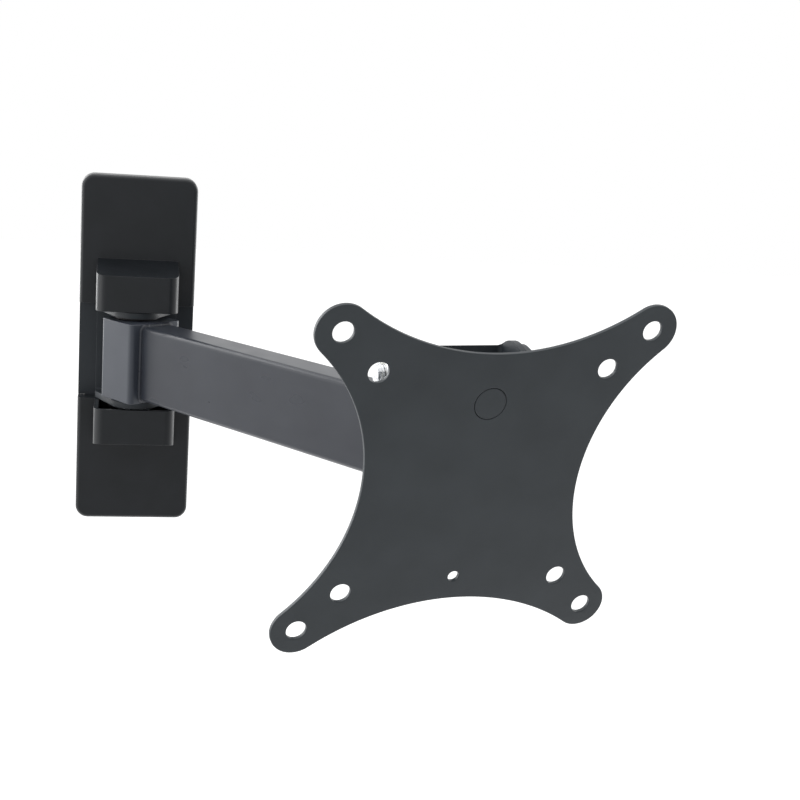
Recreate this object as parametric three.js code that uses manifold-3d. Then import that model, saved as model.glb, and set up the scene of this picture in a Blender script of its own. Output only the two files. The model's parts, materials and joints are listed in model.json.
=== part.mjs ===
// Full-motion wall mount for a small flat screen.
// Millimetres. +Z is up, the wall is the plane y = 0 and the mount stands out from it along -Y.
// The origin is the centre of the wall plate's back face.
import * as THREE from "three";
import { mergeVertices } from "three/addons/utils/BufferGeometryUtils.js";
import Module from "manifold-3d";

const wasm = await Module();
wasm.setup();

const RAD = Math.PI / 180;
const ROUND = 28; // facets of a full circle
const CORNER = 4; // facets of a rounded corner
const FIT = 0.1; // gap between neighbouring pieces, and the radial clearance of a turning one
const BEYOND = 2; // how far a cutting tool runs past the face it opens

// The pose the mount is stored in: the arm swung out to +X, the head turned to it and tilted down.
const ARM_YAW = 37.5;
const HEAD_YAW = 12.5;
const TILT = 14;

// Wall side
const MOUNT_WIDTH = 46;
const MOUNT_HEIGHT = 143;
const MOUNT_CORNER = 5;
const PLATE_THICK = 2.5;
const TONGUE_WIDTH = 41;
const TONGUE_HEIGHT = 136;
const WALL_SCREW_R = 3.1;
const WALL_SCREW_HEIGHTS = [42, 60];
const SHEET = 2.5; // the steel of the folded brackets
const BEND_R = 3.5; // outside radius of their bends
const BRACKET_WIDTH = 32;
const BRACKET_HALF_HEIGHT = 19.5;
const BRACKET_NOSE_R = 10; // the ears end in this radius about the pivot
const BRACKET_SHOULDER = 8; // how far out from the wall the ears keep their full width
const COVER_DEPTH = 9;
const COVER_WALL = 1.8;
const COVER_EDGE = 1.6;
const COVER_START = BRACKET_HALF_HEIGHT + 0.3;
const HOOD_OUT = 29.2;
const HOOD_CORNER = 4;
const HOOD_FRONT_TOP = 34;
const HOOD_BACK_TOP = 38.2;

// Arm
const PIVOT_OUT = 18.5;
const ARM_LENGTH = 150; // between the two upright pivot axes
const TUBE_HEIGHT = 30;
const TUBE_WIDTH = 15;
const TUBE_WALL = 1.5;
const TUBE_CORNER = 2;
const KNUCKLE_WIDTH = 24.4;
const WALL_KNUCKLE_FRONT = 12.8; // from the pivot axis to the face that carries the tube
const WALL_KNUCKLE_BACK = 7;
const HEAD_KNUCKLE_FRONT = 8.8;
const HEAD_KNUCKLE_BACK = 6.2;
const KNUCKLE_CORNER = 2.2;
const KNUCKLE_HALF_HEIGHT = 16;
const BUSH_R = 6;
const BUSH_LENGTH = 11;
const FLANGE_R = 8.6;

// Upright pivot bolts
const BOLT_R = 4;
const BOLT_HEAD_R = 7.2;
const BOLT_HEAD = 5;
const NUT_R = 7.2;
const NUT = 7;
const NUT_COLLAR = 0.3; // share of a lock nut's height that is its round collar
const NUT_COLLAR_R = 0.83; // the collar's radius, as a share of the hexagon's corner radius
const WASHER = 1;
const WASHER_R = 8;

// Head
const TILT_OUT = 33; // tilt axis ahead of the head's swivel axis
const TILT_UP = 29.4; // tilt axis above the arm's centre line
const SWIVEL_HALF_WIDTH = 14.2;
const SWIVEL_END_R = 11;
const TILT_SHEET = 2; // the steel of the yoke and of the bracket it carries
const YOKE_WEB_GAP = 6.6; // tilt axis to the front of the yoke's web
const YOKE_WEB_TOP = 6.1; // above the tilt axis
const YOKE_HALF_WIDTH = 18.2;
const YOKE_EAR_R = 9.8;
const YOKE_EAR_DROP = 13; // tilt axis to the foot of the ears' lower edge

// Tilting plate
const FACE_OUT = 21; // tilt axis to the face of the screen plate
const SCREEN_PLATE = 1.5;
const PLATE_DROP = 26.6; // tilt axis above the centre of the screen plate
const TILT_EAR_INNER = 18.9;
const TILT_EAR_R = 8.7;
const TILT_BOLT_R = 3;
const TILT_HEAD_R = 5.8;
const TILT_HEAD = 4;
const TILT_NUT = 4.5;
const TILT_TIP = 2.4; // bare thread beyond the nut
const TILT_WASHER_R = 6.2;
const DISC_R = 7.8; // friction disc between each pair of ears
const VESA_HALF = 50;
const VESA_SMALL_HALF = 37.5;
const VESA_HOLE_R = 3.25;
const LOBE_R = 8.4;
const SIDE_WAIST = 36.5;
const TOP_WAIST = 42.8;
const RIVET_HEAD_R = 5.1;
const RIVET_R = 3;
const SMALL_HOLE_R = 1.85;
const SMALL_HOLE_DROP = 34.6;

// ---- materials ----------------------------------------------------------------------------

const paint = new THREE.MeshStandardMaterial({ color: 0x2b2e30, roughness: 0.45, metalness: 0.3 });
const plastic = new THREE.MeshStandardMaterial({ color: 0x1c1e20, roughness: 0.4, metalness: 0 });
const nylon = new THREE.MeshStandardMaterial({ color: 0x17181a, roughness: 0.6, metalness: 0 });
const zinc = new THREE.MeshStandardMaterial({ color: 0xc8cbd0, roughness: 0.25, metalness: 1 });

// ---- solids -------------------------------------------------------------------------------

function solid(geometry) {
  const bare = geometry.index ? geometry.toNonIndexed() : geometry.clone();
  bare.deleteAttribute("normal");
  bare.deleteAttribute("uv");
  const merged = mergeVertices(bare, 1e-4);
  return new wasm.Manifold(
    new wasm.Mesh({
      numProp: 3,
      vertProperties: merged.attributes.position.array,
      triVerts: new Uint32Array(merged.index.array),
    }),
  );
}

function named(name, shape, material) {
  const data = shape.getMesh();
  const geometry = new THREE.BufferGeometry()
    .setAttribute("position", new THREE.BufferAttribute(data.vertProperties, 3))
    .setIndex(new THREE.BufferAttribute(data.triVerts, 1));
  geometry.computeVertexNormals();
  const mesh = new THREE.Mesh(geometry, material);
  mesh.name = name;
  return mesh;
}

// A box between two corners.
function box(low, high) {
  const size = high.map((value, i) => value - low[i]);
  const geometry = new THREE.BoxGeometry(...size);
  geometry.translate(...high.map((value, i) => (value + low[i]) / 2));
  return solid(geometry);
}

// A cylinder about an axis: "z" stands it up, "x" and "y" lay it along those axes.
function rod(radius, from, to, axis = "z", facets = ROUND) {
  const geometry = new THREE.CylinderGeometry(radius, radius, to - from, facets);
  geometry.translate(0, (from + to) / 2, 0);
  return solid(turned(geometry, axis));
}

// Turns a geometry that was made along Y so that it runs along the given axis.
function turned(geometry, axis) {
  if (axis === "z") geometry.rotateX(Math.PI / 2);
  if (axis === "x") geometry.rotateZ(-Math.PI / 2);
  return geometry;
}

// A ring with a square section.
function ring(outer, inner, from, to, axis = "z") {
  const profile = [
    [inner, from],
    [outer, from],
    [outer, to],
    [inner, to],
    [inner, from],
  ].map(([r, h]) => new THREE.Vector2(r, h));
  return solid(turned(new THREE.LatheGeometry(profile, ROUND), axis));
}

// The outline of a box with rounded corners, between two corners of its rectangle.
function roundedRectangle(x0, y0, x1, y1, r) {
  const shape = new THREE.Shape();
  shape.absarc(x1 - r, y1 - r, r, 0, Math.PI / 2);
  shape.absarc(x0 + r, y1 - r, r, Math.PI / 2, Math.PI);
  shape.absarc(x0 + r, y0 + r, r, Math.PI, 1.5 * Math.PI);
  shape.absarc(x1 - r, y0 + r, r, 1.5 * Math.PI, 2 * Math.PI);
  shape.closePath();
  return shape;
}

// Extrudes an outline drawn in X and Y upwards.
function upright(shape, from, to, facets = CORNER) {
  const geometry = new THREE.ExtrudeGeometry(shape, {
    depth: to - from,
    bevelEnabled: false,
    curveSegments: facets,
  });
  geometry.translate(0, 0, from);
  return solid(geometry);
}

// Extrudes an outline drawn in X and Z out from the wall, between two distances along -Y.
// The outline's second coordinate is the height.
function outward(shape, from, to, edge = 0) {
  const geometry = new THREE.ExtrudeGeometry(shape, {
    depth: to - from - edge,
    bevelEnabled: edge > 0,
    bevelThickness: edge,
    bevelSize: edge,
    bevelOffset: -edge,
    bevelSegments: 4,
    curveSegments: CORNER,
  });
  geometry.translate(0, 0, from);
  geometry.rotateX(Math.PI / 2);
  return solid(geometry);
}

// Extrudes an outline drawn as (across, height) forwards along +X, between two distances.
function forward(shape, from, to, facets = CORNER) {
  const geometry = new THREE.ExtrudeGeometry(shape, {
    depth: to - from,
    bevelEnabled: false,
    curveSegments: facets,
  });
  geometry.translate(0, 0, from);
  geometry.rotateX(Math.PI / 2);
  geometry.rotateZ(Math.PI / 2);
  return solid(geometry);
}

// Extrudes an outline drawn as (out, height) sideways along Y, between two offsets.
function sideways(shape, from, to) {
  const geometry = new THREE.ExtrudeGeometry(shape, {
    depth: to - from,
    bevelEnabled: false,
    curveSegments: 4 * CORNER,
  });
  geometry.translate(0, 0, -to);
  geometry.rotateX(Math.PI / 2);
  return solid(geometry);
}

// A six-sided bolt head with its corners at the given radius.
function hexagon(radius, from, to, axis = "z") {
  return rod(radius, from, to, axis, 6);
}

// A lock nut below the given face: a hexagon that ends in a round collar, bored for the bolt.
function lockNut(radius, height, face, bore, axis = "z") {
  const shoulder = face - height * (1 - NUT_COLLAR);
  const body = hexagon(radius, shoulder, face, axis);
  const collar = rod(radius * NUT_COLLAR_R, face - height, shoulder + FIT, axis);
  return body.add(collar).subtract(rod(bore, face - height - BEYOND, face + BEYOND, axis));
}

// The end view of a folded sheet: a web at the back and two ears forwards, with rounded bends.
function channelOutline(back, front, half, sheet) {
  const centre = back + BEND_R;
  const offset = half - BEND_R;
  const inside = BEND_R - sheet;
  const shape = new THREE.Shape();
  shape.moveTo(front, half);
  shape.lineTo(centre, half);
  shape.absarc(centre, offset, BEND_R, Math.PI / 2, Math.PI);
  shape.absarc(centre, -offset, BEND_R, Math.PI, 1.5 * Math.PI);
  shape.lineTo(front, -half);
  shape.lineTo(front, sheet - half);
  shape.absarc(centre, -offset, inside, 1.5 * Math.PI, Math.PI, true);
  shape.absarc(centre, offset, inside, Math.PI, Math.PI / 2, true);
  shape.lineTo(front, half - sheet);
  shape.closePath();
  return shape;
}

// ---- wall side ----------------------------------------------------------------------------

function wallPlate() {
  const half = MOUNT_WIDTH / 2;
  const tongue = TONGUE_WIDTH / 2;
  const end = TONGUE_HEIGHT / 2;
  let plate = outward(roundedRectangle(-tongue, -end, tongue, end, MOUNT_CORNER), 0, PLATE_THICK);
  const middle = box([-half, -PLATE_THICK, -BRACKET_HALF_HEIGHT], [half, 0, BRACKET_HALF_HEIGHT]);
  plate = plate.add(middle);
  for (const height of WALL_SCREW_HEIGHTS)
    for (const side of [-1, 1]) {
      const hole = rod(WALL_SCREW_R, -PLATE_THICK - BEYOND, BEYOND, "y").translate([0, 0, side * height]);
      plate = plate.subtract(hole);
    }
  return named("wall_plate", plate, paint);
}

// A plan outline for a U's ears: full width from one distance to another, and then straight
// sides that run in to a round nose about the pivot.
function nosePlan(back, shoulder, half, pivot, radius) {
  const reach = pivot - shoulder;
  const turn = Math.atan2(half, reach) + Math.acos(radius / Math.hypot(half, reach));
  const shape = new THREE.Shape();
  shape.moveTo(back, -half);
  shape.lineTo(shoulder, -half);
  shape.absarc(pivot, 0, radius, turn - Math.PI, Math.PI - turn);
  shape.lineTo(shoulder, half);
  shape.lineTo(back, half);
  shape.closePath();
  return shape;
}

// A U of folded sheet: its web lies on the wall plate and its ears hold the arm's pivot bolt.
function pivotBracket() {
  const half = BRACKET_WIDTH / 2;
  const top = BRACKET_HALF_HEIGHT + BEYOND;
  const end = channelOutline(PLATE_THICK, PIVOT_OUT + BRACKET_NOSE_R, BRACKET_HALF_HEIGHT, SHEET);
  const outline = nosePlan(0, BRACKET_SHOULDER, half, PIVOT_OUT, BRACKET_NOSE_R);
  const plan = upright(outline, -top, top, 4 * CORNER);
  const hole = rod(BOLT_R + FIT, -top, top).translate([PIVOT_OUT, 0, 0]);
  const body = sideways(end, -half, half).intersect(plan).subtract(hole);
  return named("pivot_bracket", body.rotate([0, 0, -90]), paint);
}

// The moulded shell over the upper half of the wall plate, with the hood that caps the pivot.
function coverShell() {
  const half = MOUNT_WIDTH / 2;
  const end = MOUNT_HEIGHT / 2;
  const all = end + BEYOND;
  const outline = roundedRectangle(-half, -end, half, end, MOUNT_CORNER);
  const wall = box([-half - BEYOND, 0, -all], [half + BEYOND, BEYOND, all]);
  const slab = outward(outline, 0, COVER_DEPTH, COVER_EDGE).subtract(wall);
  const hood = hoodBody(0);
  const below = box([-half - BEYOND, -HOOD_OUT - BEYOND, -all], [half + BEYOND, BEYOND, COVER_START]);
  const shell = slab.add(hood).subtract(below);
  const inner = roundedRectangle(
    -half + COVER_WALL,
    COVER_START + COVER_WALL,
    half - COVER_WALL,
    end - COVER_WALL,
    MOUNT_CORNER - COVER_WALL,
  );
  const pocket = outward(inner, -BEYOND, COVER_DEPTH - COVER_WALL);
  const tongue = box(
    [-TONGUE_WIDTH / 2 - FIT, -PLATE_THICK - FIT, 0],
    [TONGUE_WIDTH / 2 + FIT, BEYOND, COVER_START + 2 * COVER_WALL],
  );
  return shell.subtract(pocket).subtract(tongue).subtract(hoodBody(COVER_WALL));
}

// The hood's block, or its hollow when it is shrunk by the wall thickness.
function hoodBody(wall) {
  const half = BRACKET_WIDTH / 2 - wall;
  const out = HOOD_OUT - wall;
  const outline = roundedRectangle(-half, -out, half, HOOD_CORNER + wall, HOOD_CORNER - wall);
  const block = upright(outline, wall > 0 ? 0 : COVER_START, HOOD_BACK_TOP + BEYOND);
  const run = HOOD_OUT - COVER_DEPTH;
  const slope = Math.atan2(HOOD_BACK_TOP - HOOD_FRONT_TOP, run);
  const reach = 2 * HOOD_OUT;
  const lid = new THREE.BoxGeometry(2 * MOUNT_WIDTH, 2 * reach, reach);
  lid.translate(0, 0, reach / 2 - wall);
  lid.rotateX(slope);
  lid.translate(0, -HOOD_OUT, HOOD_FRONT_TOP);
  const behind = box([-MOUNT_WIDTH, 0, 0], [MOUNT_WIDTH, MOUNT_WIDTH, MOUNT_HEIGHT]);
  return block.subtract(solid(lid)).subtract(behind);
}

function wallSide() {
  const group = new THREE.Group();
  const shell = coverShell();
  group.add(wallPlate(), pivotBracket());
  group.add(named("upper_cover", shell, plastic));
  group.add(named("lower_cover", shell.rotate([0, 180, 0]), plastic));
  const pivot = uprightBolt("wall_pivot", BRACKET_HALF_HEIGHT);
  pivot.position.y = -PIVOT_OUT;
  group.add(pivot);
  return group;
}

// ---- arm ----------------------------------------------------------------------------------

// A bolt, its nut and two washers, clamping a U whose ears end at the given half height.
function uprightBolt(name, ears) {
  const group = new THREE.Group();
  const seat = ears + FIT;
  const face = seat + WASHER + FIT;
  const tip = face + NUT + 1;
  const bolt = rod(BOLT_R, -tip, face + FIT).add(hexagon(BOLT_HEAD_R, face, face + BOLT_HEAD));
  const washer = ring(WASHER_R, BOLT_R + FIT, seat, seat + WASHER);
  const nut = lockNut(NUT_R, NUT, -face, BOLT_R + FIT);
  group.add(named(name + "_bolt", bolt, zinc));
  group.add(named(name + "_upper_washer", washer, zinc));
  group.add(named(name + "_lower_washer", washer.mirror([0, 0, 1]), zinc));
  group.add(named(name + "_lock_nut", nut, zinc));
  return group;
}

// An end block of the arm, with its face for the tube towards +X and its pivot axis at the origin.
function knuckle(name, back, front) {
  const half = KNUCKLE_WIDTH / 2;
  const outline = roundedRectangle(-back, -half, front, half, KNUCKLE_CORNER);
  const block = upright(outline, -KNUCKLE_HALF_HEIGHT, KNUCKLE_HALF_HEIGHT);
  const top = KNUCKLE_HALF_HEIGHT;
  const narrow = rod(BOLT_R + 1, -top - BEYOND, top + BEYOND);
  const seat = rod(BUSH_R + FIT, top - BUSH_LENGTH - FIT, top + BEYOND);
  return named(name, block.subtract(narrow).subtract(seat).subtract(seat.mirror([0, 0, 1])), paint);
}

// A flanged plastic bush: the sleeve sits in the knuckle and the flange rubs on the bracket's ear.
function bush(name, side) {
  const top = KNUCKLE_HALF_HEIGHT + FIT;
  const flange = BRACKET_HALF_HEIGHT - SHEET - KNUCKLE_HALF_HEIGHT - 2 * FIT;
  const bore = BOLT_R + FIT;
  const sleeve = ring(BUSH_R, bore, top - BUSH_LENGTH, top);
  const rim = ring(FLANGE_R, bore, top, top + flange);
  const shape = sleeve.add(rim);
  return named(name, side > 0 ? shape : shape.mirror([0, 0, 1]), nylon);
}

function armTube() {
  const half = TUBE_WIDTH / 2;
  const top = TUBE_HEIGHT / 2;
  const from = WALL_KNUCKLE_FRONT + FIT;
  const to = ARM_LENGTH - HEAD_KNUCKLE_FRONT - FIT;
  const outside = forward(roundedRectangle(-half, -top, half, top, TUBE_CORNER), from, to);
  const w = TUBE_WALL;
  const inside = roundedRectangle(-half + w, -top + w, half - w, top - w, TUBE_CORNER - w);
  return named("arm_tube", outside.subtract(forward(inside, from - BEYOND, to + BEYOND)), paint);
}

// The arm lies along +X from the wall pivot at the origin.
function arm() {
  const group = new THREE.Group();
  group.add(knuckle("wall_knuckle", WALL_KNUCKLE_BACK, WALL_KNUCKLE_FRONT));
  group.add(bush("wall_bush_upper", 1), bush("wall_bush_lower", -1));
  group.add(armTube());
  const far = new THREE.Group();
  far.add(knuckle("head_knuckle", HEAD_KNUCKLE_BACK, HEAD_KNUCKLE_FRONT));
  far.add(bush("head_bush_upper", 1), bush("head_bush_lower", -1));
  far.position.x = ARM_LENGTH;
  far.rotation.z = Math.PI;
  group.add(far);
  return group;
}

// ---- head ---------------------------------------------------------------------------------

// A U that opens backwards, with the head's swivel axis at the origin through its two level ears.
function swivelBracket() {
  const half = SWIVEL_HALF_WIDTH;
  const top = BRACKET_HALF_HEIGHT + BEYOND;
  const front = TILT_OUT - YOKE_WEB_GAP - TILT_SHEET - FIT;
  const end = channelOutline(-front, SWIVEL_END_R, BRACKET_HALF_HEIGHT, SHEET);
  const outline = nosePlan(-front - BEYOND, BEND_R - front, half, 0, SWIVEL_END_R);
  const plan = upright(outline, -top, top, 4 * CORNER);
  const body = sideways(end, -half, half).intersect(plan).mirror([1, 0, 0]);
  return named("swivel_bracket", body.subtract(rod(BOLT_R + FIT, -top, top)), paint);
}

// The plate in front of the swivel bracket, with an upright ear each side for the tilt bolt.
// The tilt axis is at (TILT_OUT, TILT_UP).
function tiltYoke() {
  const half = YOKE_HALF_WIDTH;
  const wide = half + BEYOND;
  const front = TILT_OUT - YOKE_WEB_GAP;
  const back = front - TILT_SHEET;
  const foot = TILT_UP - YOKE_EAR_DROP;
  const crest = TILT_UP + YOKE_WEB_TOP;
  const web = box([back, -SWIVEL_HALF_WIDTH, -BRACKET_HALF_HEIGHT], [front, SWIVEL_HALF_WIDTH, TILT_UP]);
  const side = new THREE.Shape();
  side.moveTo(back - BEYOND, foot);
  side.lineTo(front, foot);
  side.absarc(TILT_OUT, TILT_UP, YOKE_EAR_R, -Math.PI / 3, Math.PI - Math.asin(YOKE_WEB_TOP / YOKE_EAR_R));
  side.lineTo(back - BEYOND, crest);
  side.closePath();
  const outline = channelOutline(back, TILT_OUT + YOKE_EAR_R + BEYOND, half, TILT_SHEET);
  const folded = upright(outline, foot, crest + YOKE_EAR_R);
  const bolt = rod(TILT_BOLT_R + FIT, -wide, wide, "y").translate([TILT_OUT, 0, TILT_UP]);
  const ears = folded.intersect(sideways(side, -wide, wide));
  return named("tilt_yoke", web.add(ears).subtract(bolt), paint);
}

function head() {
  const group = new THREE.Group();
  group.add(swivelBracket(), tiltYoke(), uprightBolt("head_swivel", BRACKET_HALF_HEIGHT));
  return group;
}

// ---- tilting plate: the tilt axis is at the origin, +X points out of the plate's face --------

// The plate's outline: four round lobes joined by hollow arcs that are tangent to them.
function plateOutline() {
  const bow = (waist) => {
    const dip = waist - VESA_HALF;
    return (dip * dip + VESA_HALF ** 2 - LOBE_R ** 2) / (2 * (LOBE_R - dip));
  };
  const sideR = bow(SIDE_WAIST);
  const topR = bow(TOP_WAIST);
  const sideCentre = SIDE_WAIST + sideR;
  const topCentre = TOP_WAIST + topR;
  const low = Math.atan2(-VESA_HALF, sideCentre - VESA_HALF);
  const high = Math.atan2(topCentre - VESA_HALF, -VESA_HALF);
  const c = VESA_HALF;
  const shape = new THREE.Shape();
  shape.absarc(c, c, LOBE_R, low, high);
  shape.absarc(0, topCentre, topR, high - Math.PI, -high, true);
  shape.absarc(-c, c, LOBE_R, Math.PI - high, Math.PI - low);
  shape.absarc(-sideCentre, 0, sideR, -low, low, true);
  shape.absarc(-c, -c, LOBE_R, Math.PI + low, Math.PI + high);
  shape.absarc(0, -topCentre, topR, high, Math.PI - high, true);
  shape.absarc(c, -c, LOBE_R, -high, -low);
  shape.absarc(sideCentre, 0, sideR, Math.PI - low, Math.PI + low, true);
  shape.closePath();
  return shape;
}

function screenPlate() {
  const back = FACE_OUT - SCREEN_PLATE;
  const drill = (radius, across, height) =>
    rod(radius, back - BEYOND, FACE_OUT + BEYOND, "x").translate([0, across, height]);
  let plate = forward(plateOutline(), back, FACE_OUT, 3 * CORNER).translate([0, 0, -PLATE_DROP]);
  for (const half of [VESA_HALF, VESA_SMALL_HALF])
    for (const across of [-half, half])
      for (const height of [-half, half])
        plate = plate.subtract(drill(VESA_HOLE_R, across, height - PLATE_DROP));
  plate = plate.subtract(drill(RIVET_HEAD_R + FIT, 0, 0));
  plate = plate.subtract(drill(SMALL_HOLE_R, 0, -PLATE_DROP - SMALL_HOLE_DROP));
  return named("vesa_plate", plate, paint);
}

// The U-shaped bracket behind the plate: a base against the plate and an ear each side of the yoke.
function tiltBracket() {
  const front = FACE_OUT - SCREEN_PLATE - FIT;
  const outer = TILT_EAR_INNER + TILT_SHEET;
  const wide = outer + BEYOND;
  const r = TILT_EAR_R;
  const side = new THREE.Shape();
  side.moveTo(front + BEYOND, r);
  side.lineTo(0, r);
  side.absarc(0, 0, r, Math.PI / 2, 1.5 * Math.PI);
  side.lineTo(front + BEYOND, -r);
  side.closePath();
  const end = channelOutline(-front, r + BEYOND, outer, TILT_SHEET);
  const folded = upright(end, -r - BEYOND, r + BEYOND);
  const body = folded.mirror([1, 0, 0]).intersect(sideways(side, -wide, wide));
  const bolt = rod(TILT_BOLT_R + FIT, -wide, wide, "y");
  const rivet = rod(RIVET_R + FIT, front - TILT_SHEET - BEYOND, front + BEYOND, "x");
  return named("tilt_bracket", body.subtract(bolt).subtract(rivet), paint);
}

function plateRivet() {
  const seat = FACE_OUT - SCREEN_PLATE;
  const back = seat - FIT - TILT_SHEET;
  const head = rod(RIVET_HEAD_R, seat, FACE_OUT, "x");
  const shank = rod(RIVET_R, back - FIT - 1, seat + FIT, "x");
  const upset = rod(RIVET_R + 1.5, back - FIT - 1.5, back - FIT, "x");
  return named("plate_rivet", head.add(shank).add(upset), paint);
}

// The tilt bolt lies along Y: its head is on the +Y side and its nut on the other.
function tiltBolt() {
  const group = new THREE.Group();
  const ear = TILT_EAR_INNER + TILT_SHEET + FIT;
  const face = ear + WASHER + FIT;
  const tip = face + TILT_NUT + TILT_TIP;
  const shank = rod(TILT_BOLT_R, -tip, face + FIT, "y");
  const bolt = shank.add(hexagon(TILT_HEAD_R, face, face + TILT_HEAD, "y"));
  const washer = ring(TILT_WASHER_R, TILT_BOLT_R + FIT, ear, ear + WASHER, "y");
  const nut = lockNut(TILT_HEAD_R, TILT_NUT, -face, TILT_BOLT_R + FIT, "y");
  group.add(named("tilt_bolt", bolt, zinc));
  group.add(named("tilt_head_washer", washer, zinc));
  group.add(named("tilt_nut_washer", washer.mirror([0, 1, 0]), zinc));
  group.add(named("tilt_lock_nut", nut, zinc));
  const disc = ring(DISC_R, TILT_BOLT_R + FIT, YOKE_HALF_WIDTH + FIT, TILT_EAR_INNER - FIT, "y");
  group.add(named("tilt_friction_disc_right", disc, nylon));
  group.add(named("tilt_friction_disc_left", disc.mirror([0, 1, 0]), nylon));
  return group;
}

function tiltingPlate() {
  const group = new THREE.Group();
  group.add(screenPlate(), tiltBracket(), plateRivet(), tiltBolt());
  return group;
}

// ---- assembly -----------------------------------------------------------------------------

// A group whose +X points out from the wall, swung by the given angle towards the world's +X.
function swung(group, yaw) {
  group.rotation.z = (yaw - 90) * RAD;
  return group;
}

const mount = new THREE.Group();
const armGroup = swung(arm(), ARM_YAW);
armGroup.position.set(0, -PIVOT_OUT, 0);
const headGroup = swung(head(), HEAD_YAW);
const reach = ARM_LENGTH;
headGroup.position.set(
  reach * Math.sin(ARM_YAW * RAD),
  -PIVOT_OUT - reach * Math.cos(ARM_YAW * RAD),
  0,
);
const tiltGroup = tiltingPlate();
tiltGroup.position.set(TILT_OUT, 0, TILT_UP);
tiltGroup.rotation.y = TILT * RAD;
headGroup.add(tiltGroup);
mount.add(wallSide(), armGroup, headGroup);

export default mount;
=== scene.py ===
# Looks for the wall mount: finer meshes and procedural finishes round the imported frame.
# Metres, +Z up, the wall is the plane y = 0 and the mount stands out from it along -Y.

import json
import math

import bmesh
import bpy
from mathutils import Matrix, Vector


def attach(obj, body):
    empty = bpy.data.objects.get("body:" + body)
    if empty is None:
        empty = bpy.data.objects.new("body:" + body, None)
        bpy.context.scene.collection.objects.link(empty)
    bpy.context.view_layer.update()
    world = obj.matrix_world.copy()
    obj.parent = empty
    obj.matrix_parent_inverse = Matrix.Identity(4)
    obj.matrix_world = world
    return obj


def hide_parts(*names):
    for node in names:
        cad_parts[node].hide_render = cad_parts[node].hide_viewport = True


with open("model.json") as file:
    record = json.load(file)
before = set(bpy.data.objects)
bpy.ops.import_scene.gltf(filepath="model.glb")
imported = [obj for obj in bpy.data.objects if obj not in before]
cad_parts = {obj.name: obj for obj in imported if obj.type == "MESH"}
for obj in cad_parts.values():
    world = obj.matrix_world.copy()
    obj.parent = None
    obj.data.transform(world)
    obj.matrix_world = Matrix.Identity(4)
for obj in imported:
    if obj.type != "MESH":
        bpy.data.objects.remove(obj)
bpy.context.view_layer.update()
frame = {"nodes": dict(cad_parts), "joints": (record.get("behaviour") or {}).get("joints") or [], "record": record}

MM = 0.001
TAU = 2 * math.pi
QUARTER = TAU / 4

# The camera's place in metres, its turn, dip and roll in degrees and its lens in millimetres.
CAMERA_AT = (-0.00133, -0.57085, 0.11315)
CAMERA_YAW = 11.40
CAMERA_DOWN = 12.80
CAMERA_ROLL = 4.16
LENS = 61.58
CLIP_START = 0.01

# Screen plate, in millimetres
PLATE_THICK = 1.5
PLATE_EDGE = 0.3
VESA_HALF = 50
VESA_SMALL_HALF = 37.5
VESA_HOLE_R = 3.25
LOBE_R = 8.4
SIDE_WAIST = 36.5  # from the middle to the deepest point of a side's hollow
TOP_WAIST = 42.8  # the same for the hollows at the top and bottom
RIVET_UP = 26.6
RIVET_R = 5.1
RIVET_GAP = 0.12
SMALL_HOLE_R = 1.85
SMALL_HOLE_DROP = 34.6
PLATE_EDGE_ROUNDS = 2
LOBE_STEPS = 40
WAIST_STEPS = 60
HOLE_STEPS = 48

# Fasteners, in millimetres
PIVOT_SIZE = {"radius": 4, "corner": 7.2, "head": 5, "pitch": 1.25, "thread": 12}
TILT_SIZE = {"radius": 3, "corner": 5.8, "head": 4, "pitch": 1.0, "thread": 14}
BORE_GAP = 0.1
COLLAR = 0.3  # share of a lock nut's height that is its round collar
COLLAR_R = 0.83  # the collar's radius, as a share of the hexagon's corner radius
COLLAR_LIP = 0.9  # wall of the collar round the nylon ring
COLLAR_EASE = 0.5  # length of the rounding at the collar's end
COLLAR_SHOULDER = (0.2, 0.15)  # the rounding's middle, in from the side and up from the end
SEAT_DEPTH = 0.5  # of the nylon ring's seat
SEAT_TAPER = 0.1
# The nylon ring: in from its seat's wall, past the bore, and its ends above the collar's end
INSERT = {"inset": 0.15, "overhang": 0.05, "start": 0.12, "end": 0.48, "edge": 0.1}
WASHER_EDGE = 0.2
DISC_EDGE = 0.1
CROWN = 0.88  # where a hexagon's end starts to be turned down, as a share of its corner radius
CROWN_SLOPE = math.tan(math.radians(30))
HEX_STEPS = 72
THREAD_STEPS = 32
THREAD_RINGS = 8  # rings of vertices to a turn of thread
THREAD_DEPTH = 0.6  # share of the pitch
END_EASE = 1.6  # how far the last turn is eased, as a share of the thread's depth
ROUND_STEPS = 64
RING_EDGE_STEPS = 3  # faces across the rounded edge of a ring

# Arm, in millimetres
TUBE_HALF_WIDTH = 7.5
TUBE_HALF_HEIGHT = 15
TUBE_CORNER = 2
TUBE_CORNER_STEPS = 6
WALL_KNUCKLE_FRONT = 12.8  # from the pivot to the face that the tube is welded to
HEAD_KNUCKLE_FRONT = 8.8
BEAD_R = 1.0
BEAD_RIPPLE = 1.5  # length of one ripple of the weld bead
BEAD_DIP = 0.14  # how far the bead sinks between two ripples, as a share of its radius
BEAD_STEP = 0.4  # between the rings of the bead
BEAD_SIDES = 10
BUSH_RIM = 0.8  # thickness of a bush's flange
BUSH_EASE = 0.15

# Edges of the CAD nodes that stay, in millimetres
EDGE = 0.3
EDGE_SEGMENTS = 3
NODE_EDGE = {"upper_cover": 0.5, "lower_cover": 0.5, "wall_knuckle": 0.5, "head_knuckle": 0.5}
SHARP = 32  # degrees between two faces that meet in an edge
FLAT = 1  # degrees between two faces that count as one flat
FLAT_WEIGHT = 60  # 50 is neutral, and more makes the shading lean on the wide faces
NODE_MERGE = 0.005  # points of a CAD node that are closer than this are joined
MESH_MERGE = 0.002  # the same for a finer mesh
STEEP = 0.5  # rise of a unit axis from which it counts as upright

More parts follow.
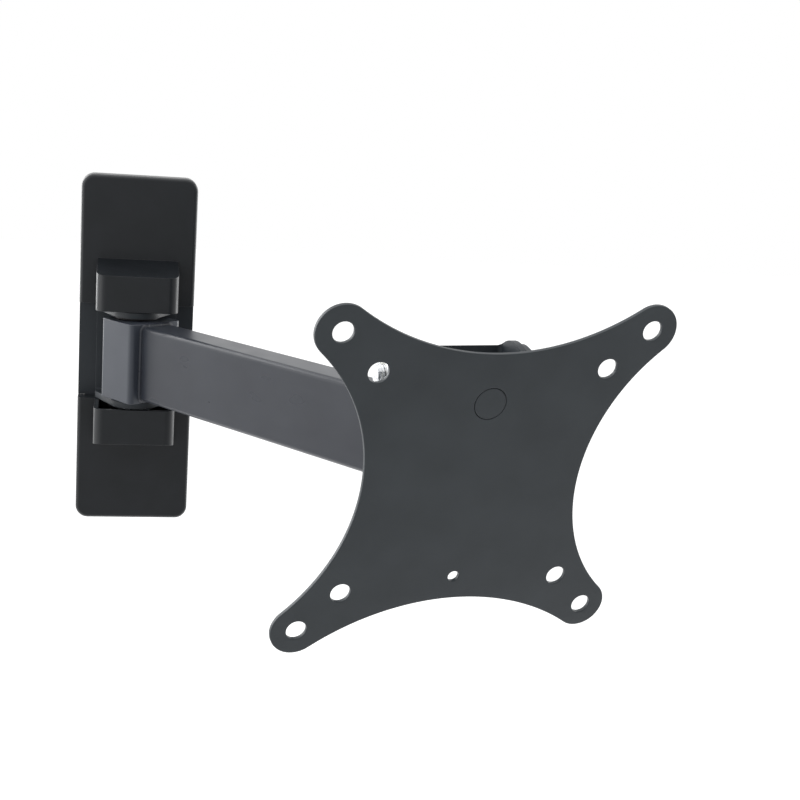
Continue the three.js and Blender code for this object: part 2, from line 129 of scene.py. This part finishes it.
# Finishes: each noise's feature size in millimetres and its detail, and each bump's depth
RAMP_START, RAMP_END = 0.3, 0.7
COAT_TONE, COAT_SHEEN = (18, 4), (6, 3)
COAT_PEEL, COAT_SPECK = (1.3, 2), (0.3, 1)
PEEL_DEPTH, SPECK_DEPTH = 0.05, 0.02
SPECK_SHARE = 0.25  # strength of the specks, as a share of the orange peel's
TUBE_TONE, TUBE_STREAK, TUBE_PEEL = (24, 3), (5, 1), (2.4, 1)
STREAK_PULL = 0.93  # how far the streaks are drawn out along the tube, up to 1
TUBE_PEEL_STRENGTH, TUBE_PEEL_DEPTH = 0.06, 0.04
MOULD_TONE, MOULD_SHEEN = (12, 3), (2.5, 3)
MOULD_GRAIN, MOULD_WAVE = (0.45, 3), (9, 2)
GRAIN_DEPTH, WAVE_DEPTH = 0.03, 0.15
WAVE_STRENGTH = 0.08
ZINC_TONE, ZINC_SHEEN, ZINC_TOOTH = (1.6, 4), (0.8, 4), (0.35, 3)
TOOTH_STRENGTH, TOOTH_DEPTH = 0.18, 0.03

# Studio: metres and watts. The surround is dim on the camera's side and bright on the others:
# it brightens as the cosine to BRIGHT_WAY goes from DIM_AT to BRIGHT_AT.
BRIGHT_WAY = (-0.35, 0.85, 0.25)
DIM_AT, BRIGHT_AT = -0.95, -0.15
DIM, BRIGHT = 0.57, 1.0
BACKDROP = 1.0  # the surround's strength as the camera sees it
LIGHTS = {
    "left_light": {"at": (-0.9, -0.35, 0.35), "size": (0.9, 1.2), "power": 4},
    "top_light": {"at": (0.1, 0.1, 1.1), "size": (1.2, 0.8), "power": 3},
    "back_left_light": {"at": (-0.75, 0.65, 0.35), "size": (0.8, 1.1), "power": 12},
    "back_right_light": {"at": (1.1, 0.5, 0.2), "size": (0.6, 1.0), "power": 6},
}
LIGHTS_MEET = (0.05, -0.1, 0.0)
FLOOR_HEIGHT = -0.7
FLOOR_FRONT, FLOOR_BACK, FLOOR_SIDE = -0.4, 6, 6
FLOOR_GLOW = 0.35
FLOOR_GRAIN = (400, 2)
FLOOR_TONES = (0.86, 0.88)
FLOOR_ROUGH = 0.9
FLOOR_SPECULAR = 0.1

joints = {joint["name"]: joint for joint in frame["joints"]}
mounts = {mount["name"]: mount for mount in frame["record"]["mounts"]}
slots = {part["node"]: part["material_slot"] for part in frame["record"]["subparts"]}
WALL_PIVOT = Vector(joints["wall_swivel"]["pos_m"])
HEAD_PIVOT = Vector(joints["head_swivel"]["pos_m"])
TILT_PIVOT = Vector(joints["tilt"]["pos_m"])
TILT_AXIS = Vector(joints["tilt"]["axis"]).normalized()
ARM_AXIS = (HEAD_PIVOT - WALL_PIVOT).normalized()
UP = Vector((0, 0, 1))


# ---- placing and mesh helpers -------------------------------------------------------------


def axes(x, y, z, at):
    """The matrix that takes local millimetres to the frame, with these local axes and origin."""
    turn = Matrix((x, y, z)).transposed().to_4x4()
    return Matrix.Translation(at) @ turn @ Matrix.Scale(MM, 4)


def along(axis, at):
    """A local frame whose Z runs along the axis from a point."""
    z = axis.normalized()
    x = (UP if abs(z.z) < STEEP else Vector((1, 0, 0))).cross(z).normalized()
    return axes(x, z.cross(x), z, at)


def plate_frame():
    """X to the plate's right, Y up it and Z out of its face, from the middle of the face."""
    normal = Vector(mounts["screen_face"]["axis"]).normalized()
    right = (TILT_AXIS - normal * TILT_AXIS.dot(normal)).normalized()
    return axes(right, normal.cross(right), normal, Vector(mounts["screen_face"]["pos_m"]))


def arm_frame(at, direction):
    """X along the arm, Z up, from a pivot."""
    return axes(direction, UP.cross(direction), UP, at)


def extent(node, axis, at):
    """The lowest and highest millimetre that a node reaches along an axis from a point."""
    reach = [(v.co - at).dot(axis) / MM for v in frame["nodes"][node].data.vertices]
    return min(reach), max(reach)


def finished(name, mesh, place, body, material, node=None):
    """Puts a mesh made in millimetres in its place and ties it to its body, slot and node."""
    work = bmesh.new()
    work.from_mesh(mesh)
    bmesh.ops.remove_doubles(work, verts=work.verts, dist=MESH_MERGE)
    bmesh.ops.recalc_face_normals(work, faces=work.faces)
    work.to_mesh(mesh)
    work.free()
    mesh.transform(place)
    for polygon in mesh.polygons:
        polygon.use_smooth = True
    mesh.set_sharp_from_angle(angle=math.radians(SHARP))
    mesh.materials.clear()
    mesh.materials.append(material)
    piece = bpy.data.objects.new(name, mesh)
    bpy.context.scene.collection.objects.link(piece)
    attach(piece, body)
    if node:
        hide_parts(node)
    return piece


def level_normals(piece):
    """Keeps the flats flat: the shading leans on the widest faces round each vertex."""
    shade = piece.modifiers.new("shade", "WEIGHTED_NORMAL")
    shade.weight = FLAT_WEIGHT
    shade.keep_sharp = False


def rings_to_mesh(name, rings, closed):
    """A skin over rings of points: it is capped at both ends, or joined back to its start."""
    mesh = bpy.data.meshes.new(name)
    count = len(rings[0])
    points = [point for ring in rings for point in ring]
    faces = []
    spans = len(rings) if closed else len(rings) - 1
    for i in range(spans):
        a, b = i * count, (i + 1) % len(rings) * count
        for j in range(count):
            k = (j + 1) % count
            faces.append((a + j, a + k, b + k, b + j))
    if not closed:
        faces.append(tuple(reversed(range(count))))
        faces.append(tuple(range(len(points) - count, len(points))))
    mesh.from_pydata(points, [], faces)
    return mesh


def circle(radius, height, steps):
    """Points round the Z axis at a height."""
    return [
        (radius * math.cos(TAU * i / steps), radius * math.sin(TAU * i / steps), height)
        for i in range(steps)
    ]


def ring_mesh(name, outer, inner, low, high, edge):
    """A plain ring with rounded edges, for washers, friction discs and nylon inserts."""
    profile = []
    corners = ((outer, low, 1, 1), (outer, high, 1, -1), (inner, high, -1, -1), (inner, low, -1, 1))
    for index, (radius, height, out, rise) in enumerate(corners):
        for step in range(RING_EDGE_STEPS + 1):
            turn = (step if index % 2 == 0 else RING_EDGE_STEPS - step) * QUARTER / RING_EDGE_STEPS
            across = radius - out * edge * (1 - math.sin(turn))
            up = height + rise * edge * (1 - math.cos(turn))
            profile.append((across, up))
    return rings_to_mesh(name, [circle(r, h, ROUND_STEPS) for r, h in profile], True)


# ---- shader helpers -----------------------------------------------------------------------


class Finish:
    """A Principled material and the few node shapes that the finishes share."""

    def __init__(self, name, rough, metal=0.0, specular=0.5):
        self.material = bpy.data.materials.new(name)
        self.material.use_nodes = True
        self.tree = self.material.node_tree
        self.shader = self.tree.nodes["Principled BSDF"]
        self.shader.inputs["Roughness"].default_value = rough
        self.shader.inputs["Metallic"].default_value = metal
        self.shader.inputs["Specular IOR Level"].default_value = specular
        self.place = self.tree.nodes.new("ShaderNodeTexCoord").outputs["Object"]

    def link(self, source, target):
        self.tree.links.new(source, target)

    def noise(self, size, detail, stretch=(1, 1, 1)):
        """Noise whose features are about this many millimetres across."""
        mapping = self.tree.nodes.new("ShaderNodeMapping")
        mapping.inputs["Scale"].default_value = [s / (size * MM) for s in stretch]
        self.link(self.place, mapping.inputs["Vector"])
        node = self.tree.nodes.new("ShaderNodeTexNoise")
        node.inputs["Scale"].default_value = 1.0
        node.inputs["Detail"].default_value = detail
        self.link(mapping.outputs["Vector"], node.inputs["Vector"])
        return node.outputs["Fac"]

    def ramp(self, factor, low, high):
        """Runs from one colour or value to the other as the factor rises."""
        node = self.tree.nodes.new("ShaderNodeValToRGB")
        node.color_ramp.elements[0].position = RAMP_START
        node.color_ramp.elements[1].position = RAMP_END
        for element, value in zip(node.color_ramp.elements, (low, high)):
            element.color = (*value, 1) if hasattr(value, "__len__") else (value, value, value, 1)
        self.link(factor, node.inputs["Fac"])
        return node.outputs["Color"]

    def colour(self, source):
        self.link(source, self.shader.inputs["Base Color"])

    def roughness(self, source):
        self.link(source, self.shader.inputs["Roughness"])

    def bump(self, heights):
        """Layers of (source, strength, depth in millimetres), each over the one before."""
        normal = None
        for source, strength, depth in heights:
            node = self.tree.nodes.new("ShaderNodeBump")
            node.inputs["Strength"].default_value = strength
            node.inputs["Distance"].default_value = depth * MM
            self.link(source, node.inputs["Height"])
            if normal is not None:
                self.link(normal, node.inputs["Normal"])
            normal = node.outputs["Normal"]
        self.link(normal, self.shader.inputs["Normal"])


def coated(name, low, high, rough, specular, peel):
    """Powder coat: orange peel, fine specks and a slow drift of tone."""
    finish = Finish(name, rough[0], specular=specular)
    finish.colour(finish.ramp(finish.noise(*COAT_TONE), low, high))
    finish.roughness(finish.ramp(finish.noise(*COAT_SHEEN), *rough))
    skin = (finish.noise(*COAT_PEEL), peel, PEEL_DEPTH)
    specks = (finish.noise(*COAT_SPECK), SPECK_SHARE * peel, SPECK_DEPTH)
    finish.bump([skin, specks])
    return finish.material


def brushed_coat(name, low, high, rough, specular, along_axis):
    """Thin satin coat over drawn tube, whose draw lines still show as faint long streaks."""
    finish = Finish(name, rough[0], specular=specular)
    stretch = [1 - STREAK_PULL * abs(value) for value in along_axis]
    streak = finish.noise(*TUBE_STREAK, stretch)
    finish.colour(finish.ramp(finish.noise(*TUBE_TONE), low, high))
    finish.roughness(finish.ramp(streak, *rough))
    finish.bump([(finish.noise(*TUBE_PEEL), TUBE_PEEL_STRENGTH, TUBE_PEEL_DEPTH)])
    return finish.material


def moulded(name, low, high, rough, specular, grain):
    """Moulded plastic: fine spark-eroded grain over a faint wave."""
    finish = Finish(name, rough[0], specular=specular)
    finish.colour(finish.ramp(finish.noise(*MOULD_TONE), low, high))
    finish.roughness(finish.ramp(finish.noise(*MOULD_SHEEN), *rough))
    tooth = (finish.noise(*MOULD_GRAIN), grain, GRAIN_DEPTH)
    wave = (finish.noise(*MOULD_WAVE), WAVE_STRENGTH, WAVE_DEPTH)
    finish.bump([tooth, wave])
    return finish.material


def plated(name, low, high, rough):
    """Zinc plate: cloudy crystals with a fine tooth."""
    finish = Finish(name, rough[0], metal=1.0)
    finish.colour(finish.ramp(finish.noise(*ZINC_TONE), low, high))
    finish.roughness(finish.ramp(finish.noise(*ZINC_SHEEN), *rough))
    finish.bump([(finish.noise(*ZINC_TOOTH), TOOTH_STRENGTH, TOOTH_DEPTH)])
    return finish.material


FINISHES = {
    "paint": coated(
        "black_paint",
        low=(0.021, 0.026, 0.031),
        high=(0.028, 0.033, 0.039),
        rough=(0.40, 0.50),
        specular=0.35,
        peel=0.10,
    ),
    # The plate's coat is the black paint made lighter. The extra lightness is painted light for the brighter light
    # on the plate's face.
    "plate": coated(
        "lit_plate_paint",
        low=(0.029, 0.035, 0.040),
        high=(0.037, 0.044, 0.050),
        rough=(0.38, 0.48),
        specular=0.38,
        peel=0.07,
    ),
    "arm": brushed_coat(
        "arm_paint",
        low=(0.021, 0.024, 0.032),
        high=(0.029, 0.033, 0.042),
        rough=(0.27, 0.34),
        specular=0.42,
        along_axis=ARM_AXIS,
    ),
    "knuckle": coated(
        "knuckle_paint",
        low=(0.034, 0.040, 0.053),
        high=(0.042, 0.049, 0.063),
        rough=(0.28, 0.36),
        specular=0.55,
        peel=0.06,
    ),
    "plastic": moulded(
        "black_plastic",
        low=(0.006, 0.008, 0.010),
        high=(0.009, 0.011, 0.014),
        rough=(0.28, 0.38),
        specular=0.45,
        grain=0.10,
    ),
    "nylon": moulded(
        "black_nylon",
        low=(0.006, 0.006, 0.007),
        high=(0.010, 0.010, 0.011),
        rough=(0.48, 0.60),
        specular=0.3,
        grain=0.16,
    ),
    "insert": moulded(
        "nylon_insert",
        low=(0.50, 0.50, 0.47),
        high=(0.60, 0.60, 0.56),
        rough=(0.45, 0.55),
        specular=0.4,
        grain=0.12,
    ),
    "zinc": plated(
        "zinc",
        low=(0.66, 0.68, 0.71),
        high=(0.84, 0.85, 0.86),
        rough=(0.16, 0.30),
    ),
}
SLOT_FINISH = {
    "black_paint": "paint",
    "black_plastic": "plastic",
    "black_nylon": "nylon",
    "zinc": "zinc",
}
NODE_FINISH = {
    "arm_tube": "arm",
    "wall_knuckle": "knuckle",
    "head_knuckle": "knuckle",
    # the rivet wears the plate's lightened coat, whose extra lightness is painted light
    "plate_rivet": "plate",
}


# ---- pieces -------------------------------------------------------------------------------


def arc(x, y, radius, start, end, steps):
    """Points on an arc in the plane, from one angle to another."""
    turns = [start + (end - start) * i / steps for i in range(steps + 1)]
    return [(x + radius * math.cos(turn), y + radius * math.sin(turn)) for turn in turns]


def plate_outline():
    """Four round lobes joined by hollow arcs that are tangent to them."""

    def bow(waist):
        dip = waist - VESA_HALF
        return (dip * dip + VESA_HALF**2 - LOBE_R**2) / (2 * (LOBE_R - dip))

    side_r, top_r = bow(SIDE_WAIST), bow(TOP_WAIST)
    side, top, c = SIDE_WAIST + side_r, TOP_WAIST + top_r, VESA_HALF
    low = math.atan2(-c, side - c)
    high = math.atan2(top - c, -c)
    pi = math.pi
    stretches = (
        arc(c, c, LOBE_R, low, high, LOBE_STEPS),
        arc(0, top, top_r, high - pi, -high, WAIST_STEPS),
        arc(-c, c, LOBE_R, pi - high, pi - low, LOBE_STEPS),
        arc(-side, 0, side_r, -low, low, WAIST_STEPS),
        arc(-c, -c, LOBE_R, pi + low, pi + high, LOBE_STEPS),
        arc(0, -top, top_r, high, pi - high, WAIST_STEPS),
        arc(c, -c, LOBE_R, -high, -low, LOBE_STEPS),
        arc(side, 0, side_r, pi - low, pi + low, WAIST_STEPS),
    )
    return [point for stretch in stretches for point in stretch[:-1]]


def screen_plate():
    """The stamped plate with its eased edges, its eight screen holes and the rivet's seat."""
    curve = bpy.data.curves.new("screen_plate", "CURVE")
    curve.dimensions = "2D"
    curve.fill_mode = "BOTH"
    curve.extrude = PLATE_THICK / 2 - PLATE_EDGE
    curve.bevel_depth = PLATE_EDGE
    curve.bevel_resolution = PLATE_EDGE_ROUNDS
    curve.offset = -PLATE_EDGE
    holes = [(0, RIVET_UP, RIVET_R + RIVET_GAP), (0, -SMALL_HOLE_DROP, SMALL_HOLE_R)]
    for half in (VESA_HALF, VESA_SMALL_HALF):
        holes += [(x, y, VESA_HOLE_R) for x in (-half, half) for y in (-half, half)]
    loops = [plate_outline()] + [arc(x, y, r, 0, TAU, HOLE_STEPS)[:-1] for x, y, r in holes]
    for loop in loops:
        spline = curve.splines.new("POLY")
        spline.points.add(len(loop) - 1)
        for point, (x, y) in zip(spline.points, loop):
            point.co = (x, y, 0, 1)
        spline.use_cyclic_u = True
    drawn = bpy.data.objects.new("plate_curve", curve)
    bpy.context.scene.collection.objects.link(drawn)
    bpy.context.view_layer.update()
    graph = bpy.context.evaluated_depsgraph_get()
    mesh = bpy.data.meshes.new_from_object(drawn.evaluated_get(graph))
    bpy.data.objects.remove(drawn)
    mesh.transform(Matrix.Translation((0, 0, -PLATE_THICK / 2)))
    # the plate's lightened coat: its extra lightness is painted light
    paint = FINISHES["plate"]
    plate = finished(
        "screen_plate", mesh, plate_frame(), "tilting_plate", paint, "vesa_plate"
    )
    level_normals(plate)


def hex_radius(corner, turn):
    """How far a hexagon with its first corner at angle 0 reaches at an angle."""
    flat = corner * math.cos(math.pi / 6)
    return flat / math.cos((turn % (TAU / 6)) - TAU / 12)


def hex_rings(corner, low, high, ease_low):
    """Rings up a hexagon whose corners are turned down at its high end, and maybe at its low one."""
    crown = CROWN * corner
    turns = [TAU * i / HEX_STEPS for i in range(HEX_STEPS)]
    radii = [hex_radius(corner, turn) for turn in turns]
    drops = [max(0.0, radius - crown) * CROWN_SLOPE for radius in radii]
    level = [0.0] * HEX_STEPS
    flat = [min(crown, radius) for radius in radii]

    def ring(reach, height, rise):
        rows = zip(reach, turns, rise)
        return [(r * math.cos(t), r * math.sin(t), height + lift) for r, t, lift in rows]

    rings = [ring(radii, high, [-drop for drop in drops]), ring(flat, high, level)]
    if ease_low:
        return [ring(flat, low, level), ring(radii, low, drops)] + rings
    return [ring(radii, low, level)] + rings


def thread_rings(radius, pitch, low, high):
    """Rings along a screw thread that runs from low to high, with an eased end at high."""
    count = max(2, round((high - low) / pitch * THREAD_RINGS))
    depth = THREAD_DEPTH * pitch / 2
    rings = []
    for i in range(count + 1):
        height = low + (high - low) * i / count
        ease = min(1.0, (high - height) / pitch)
        points = []
        for j in range(THREAD_STEPS):
            phase = (height / pitch - j / THREAD_STEPS) % 1
            groove = 2 * abs(phase - 0.5)
            reach = radius - depth * max(groove, END_EASE * (1 - ease))
            turn = TAU * j / THREAD_STEPS
            points.append((reach * math.cos(turn), reach * math.sin(turn), height))
        rings.append(points)
    return rings


def bolt(name, node, axis, at, body, size):
    """A hexagon-headed bolt whose head is at the far end of the node along the axis."""
    low, high = extent(node, axis, at)
    seat = high - size["head"]
    run_out = -low - size["thread"]
    shank = [circle(size["radius"], height, THREAD_STEPS) for height in (-seat - BORE_GAP, run_out)]
    thread = thread_rings(size["radius"], size["pitch"], run_out, -low)
    screw = rings_to_mesh(name + "_shank", shank + thread, False)
    screw.transform(Matrix.Rotation(math.pi, 4, "X"))
    whole = rings_to_mesh(name, hex_rings(size["corner"], seat, high, False), False)
    work = bmesh.new()
    work.from_mesh(whole)
    work.from_mesh(screw)
    work.to_mesh(whole)
    work.free()
    finished(name, whole, along(axis, at), body, FINISHES["zinc"], node)


def lock_nut(name, node, axis, at, body, size):
    """A hexagon nut with a round collar at its low end, which holds a nylon ring."""
    low, high = extent(node, axis, at)
    shoulder = low + COLLAR * (high - low)
    bore = size["radius"] + BORE_GAP
    collar = size["corner"] * COLLAR_R
    lip = collar - COLLAR_LIP
    turned = (
        (collar, shoulder),
        (collar, low + COLLAR_EASE),
        (collar - COLLAR_SHOULDER[0], low + COLLAR_SHOULDER[1]),
        (collar - COLLAR_EASE, low),
        (lip, low),
        (lip - SEAT_TAPER, low + SEAT_DEPTH - SEAT_TAPER),
        (bore, low + SEAT_DEPTH),
        (bore, high),
    )
    rings = list(reversed(hex_rings(size["corner"], shoulder, high, True)))
    rings += [circle(radius, height, HEX_STEPS) for radius, height in turned]
    place = along(axis, at)
    finished(name, rings_to_mesh(name, rings, True), place, body, FINISHES["zinc"], node)
    outer, inner = lip - INSERT["inset"], bore - INSERT["overhang"]
    start, end = low + INSERT["start"], low + INSERT["end"]
    insert = ring_mesh(name + "_insert", outer, inner, start, end, INSERT["edge"])
    finished(name + "_insert", insert, place, body, FINISHES["insert"])


def washer(name, node, axis, at, body, finish="zinc", edge=WASHER_EDGE):
    """A plain ring with eased edges that fills the node's place."""
    low, high = extent(node, axis, at)
    arms = [v.co - at for v in frame["nodes"][node].data.vertices]
    spans = [(arm - axis * arm.dot(axis)).length / MM for arm in arms]
    mesh = ring_mesh(name, max(spans), min(spans), low, high, edge)
    finished(name, mesh, along(axis, at), body, FINISHES[finish], node)


def bush(name, node, at, body):
    """A flanged bush: the wide rim is at the end that is farther from the arm's centre line."""
    low, high = extent(node, UP, at)
    side = 1 if high > 0 else -1
    inner_end, outer_end = (low, high) if side > 0 else (high, low)
    cloud = [v.co - at for v in frame["nodes"][node].data.vertices]
    radii = [math.hypot(p.x, p.y) / MM for p in cloud]
    rim, bore = max(radii), min(radii)
    step = outer_end - side * BUSH_RIM
    sleeve = max(r for r, p in zip(radii, cloud) if abs(p.z / MM - inner_end) < BORE_GAP)
    rise = BUSH_EASE * side
    profile = (
        (bore, inner_end),
        (sleeve - 2 * BUSH_EASE, inner_end),
        (sleeve, inner_end + 2 * rise),
        (sleeve, step),
        (rim - BUSH_EASE, step),
        (rim, step + rise),
        (rim, outer_end - rise),
        (rim - BUSH_EASE, outer_end),
        (bore, outer_end),
    )
    mesh = rings_to_mesh(name, [circle(r, h, ROUND_STEPS) for r, h in profile], True)
    finished(name, mesh, along(UP, at), body, FINISHES["nylon"], node)


def tube_path():
    """Points round the tube's outline with the way out at each, evenly and closely spaced."""
    path = []
    for index, (side, rise) in enumerate(((1, 1), (-1, 1), (-1, -1), (1, -1))):
        x = side * (TUBE_HALF_WIDTH - TUBE_CORNER)
        y = rise * (TUBE_HALF_HEIGHT - TUBE_CORNER)
        start = index * QUARTER
        bend = arc(x, y, TUBE_CORNER, start, start + QUARTER, TUBE_CORNER_STEPS)
        part = QUARTER / TUBE_CORNER_STEPS
        path += [(*point, start + part * i) for i, point in enumerate(bend)]
    path.append((path[0][0], path[0][1], TAU))
    fine = []
    for here, there in zip(path, path[1:]):
        steps = max(1, round(math.hypot(there[0] - here[0], there[1] - here[1]) / BEAD_STEP))
        for i in range(steps):
            fine.append(tuple(a + (b - a) * i / steps for a, b in zip(here, there)))
    return fine


def weld_bead(name, at, direction, front):
    """The rippled bead that joins the tube to a knuckle's front face."""
    rings = []
    for index, (x, y, turn) in enumerate(tube_path()):
        phase = index * BEAD_STEP / BEAD_RIPPLE % 1
        swell = math.sqrt(1 - (2 * phase - 1) ** 2)
        reach = BEAD_R * (1 - BEAD_DIP + BEAD_DIP * swell)
        ring = []
        for ahead, out, _ in circle(reach, 0, BEAD_SIDES):
            ring.append((front + ahead, x + out * math.cos(turn), y + out * math.sin(turn)))
        rings.append(ring)
    mesh = rings_to_mesh(name, rings, True)
    finished(name, mesh, arm_frame(at, direction), "arm", FINISHES["arm"])


def pivot_fasteners(pivot, at, body):
    """The bolt, lock nut and two washers of an upright pivot."""
    bolt(pivot + "_hex_bolt", pivot + "_bolt", UP, at, body, PIVOT_SIZE)
    lock_nut(pivot + "_nyloc_nut", pivot + "_lock_nut", UP, at, body, PIVOT_SIZE)
    for end in ("upper", "lower"):
        washer(f"{pivot}_{end}_ring", f"{pivot}_{end}_washer", UP, at, body)


def tilt_fasteners():
    """The level bolt of the tilt, with its lock nut, washers and friction discs."""
    axis, at, body = TILT_AXIS, TILT_PIVOT, "tilting_plate"
    bolt("tilt_hex_bolt", "tilt_bolt", axis, at, body, TILT_SIZE)
    lock_nut("tilt_nyloc_nut", "tilt_lock_nut", axis, at, body, TILT_SIZE)
    for end in ("head", "nut"):
        washer(f"tilt_{end}_ring", f"tilt_{end}_washer", axis, at, body)
    for side in ("right", "left"):
        disc = f"tilt_friction_disc_{side}"
        washer(f"tilt_disc_{side}", disc, axis, at, body, "nylon", DISC_EDGE)


def bushes():
    """The four flanged bushes, two in each knuckle."""
    for place, at in (("wall", WALL_PIVOT), ("head", HEAD_PIVOT)):
        for end in ("upper", "lower"):
            bush(f"{place}_{end}_flanged_bush", f"{place}_bush_{end}", at, "arm")


def welds():
    """The beads at both ends of the tube."""
    weld_bead("wall_weld_bead", WALL_PIVOT, ARM_AXIS, WALL_KNUCKLE_FRONT)
    weld_bead("head_weld_bead", HEAD_PIVOT, -ARM_AXIS, HEAD_KNUCKLE_FRONT)


def dress():
    """Gives every CAD node that stays its finish and its rounded edges."""
    for name, node in frame["nodes"].items():
        finish = NODE_FINISH.get(name) or SLOT_FINISH[slots[name]]
        node.data.materials.clear()
        node.data.materials.append(FINISHES[finish])
        for polygon in node.data.polygons:
            polygon.use_smooth = True
        weld = node.modifiers.new("weld", "WELD")
        weld.merge_threshold = NODE_MERGE * MM
        flats = node.modifiers.new("flats", "DECIMATE")
        flats.decimate_type = "DISSOLVE"
        flats.angle_limit = math.radians(FLAT)
        bevel = node.modifiers.new("edge", "BEVEL")
        bevel.width = NODE_EDGE.get(name, EDGE) * MM
        bevel.segments = EDGE_SEGMENTS
        bevel.limit_method = "ANGLE"
        bevel.angle_limit = math.radians(SHARP)
        bevel.use_clamp_overlap = True
        level_normals(node)


# ---- studio -------------------------------------------------------------------------------


def camera():
    """The camera at the photograph's viewing angle."""
    data = bpy.data.cameras.new("camera")
    data.lens = LENS
    data.clip_start = CLIP_START
    made = bpy.data.objects.new("camera", data)
    bpy.context.scene.collection.objects.link(made)
    turn = Matrix.Rotation(math.radians(-CAMERA_YAW), 4, "Z")
    tip = Matrix.Rotation(math.radians(90 - CAMERA_DOWN), 4, "X")
    roll = Matrix.Rotation(math.radians(CAMERA_ROLL), 4, "Z")
    made.matrix_world = Matrix.Translation(CAMERA_AT) @ turn @ tip @ roll
    bpy.context.scene.camera = made


def soft_light(name, at, size, power):
    """A rectangular light that faces the mount."""
    data = bpy.data.lights.new(name, "AREA")
    data.shape = "RECTANGLE"
    data.size, data.size_y = size
    data.energy = power
    made = bpy.data.objects.new(name, data)
    aim = (Vector(LIGHTS_MEET) - Vector(at)).to_track_quat("-Z", "Y")
    made.matrix_world = Matrix.Translation(at) @ aim.to_matrix().to_4x4()
    bpy.context.scene.collection.objects.link(made)


def surround():
    """A white world: the camera sees it plain, and the mount sees it dimmer on the camera's side."""
    world = bpy.data.worlds.new("studio")
    bpy.context.scene.world = world
    world.use_nodes = True
    tree = world.node_tree
    background = tree.nodes["Background"]
    background.inputs["Color"].default_value = (1, 1, 1, 1)
    way = tree.nodes.new("ShaderNodeTexCoord").outputs["Generated"]
    toward = tree.nodes.new("ShaderNodeVectorMath")
    toward.operation = "DOT_PRODUCT"
    toward.inputs[1].default_value = Vector(BRIGHT_WAY).normalized()
    tree.links.new(way, toward.inputs[0])
    level = tree.nodes.new("ShaderNodeMapRange")
    level.interpolation_type = "SMOOTHSTEP"
    ends = {"From Min": DIM_AT, "From Max": BRIGHT_AT, "To Min": DIM, "To Max": BRIGHT}
    for socket, value in ends.items():
        level.inputs[socket].default_value = value
    tree.links.new(toward.outputs["Value"], level.inputs["Value"])
    seen = tree.nodes.new("ShaderNodeLightPath").outputs["Is Camera Ray"]
    pick = tree.nodes.new("ShaderNodeMix")
    pick.inputs["B"].default_value = BACKDROP
    tree.links.new(seen, pick.inputs["Factor"])
    tree.links.new(level.outputs["Result"], pick.inputs["A"])
    tree.links.new(pick.outputs["Result"], background.inputs["Strength"])


def floor():
    """A pale floor far below and behind the mount."""
    mesh = bpy.data.meshes.new("floor")
    corners = (
        (-FLOOR_SIDE, FLOOR_FRONT),
        (FLOOR_SIDE, FLOOR_FRONT),
        (FLOOR_SIDE, FLOOR_BACK),
        (-FLOOR_SIDE, FLOOR_BACK),
    )
    mesh.from_pydata([(x, y, FLOOR_HEIGHT) for x, y in corners], [], [(0, 1, 2, 3)])
    paper = Finish("floor_paper", FLOOR_ROUGH, specular=FLOOR_SPECULAR)
    paper.colour(paper.ramp(paper.noise(*FLOOR_GRAIN), *FLOOR_TONES))
    paper.shader.inputs["Emission Color"].default_value = (1, 1, 1, 1)
    paper.shader.inputs["Emission Strength"].default_value = FLOOR_GLOW
    mesh.materials.append(paper.material)
    made = bpy.data.objects.new("floor", mesh)
    bpy.context.scene.collection.objects.link(made)


def studio():
    surround()
    floor()
    for name, light in LIGHTS.items():
        soft_light(name, light["at"], light["size"], light["power"])
    bpy.context.scene.view_settings.view_transform = "Standard"


camera()
studio()
dress()
screen_plate()
pivot_fasteners("wall_pivot", WALL_PIVOT, "wall_side")
pivot_fasteners("head_swivel", HEAD_PIVOT, "head")
tilt_fasteners()
bushes()
welds()
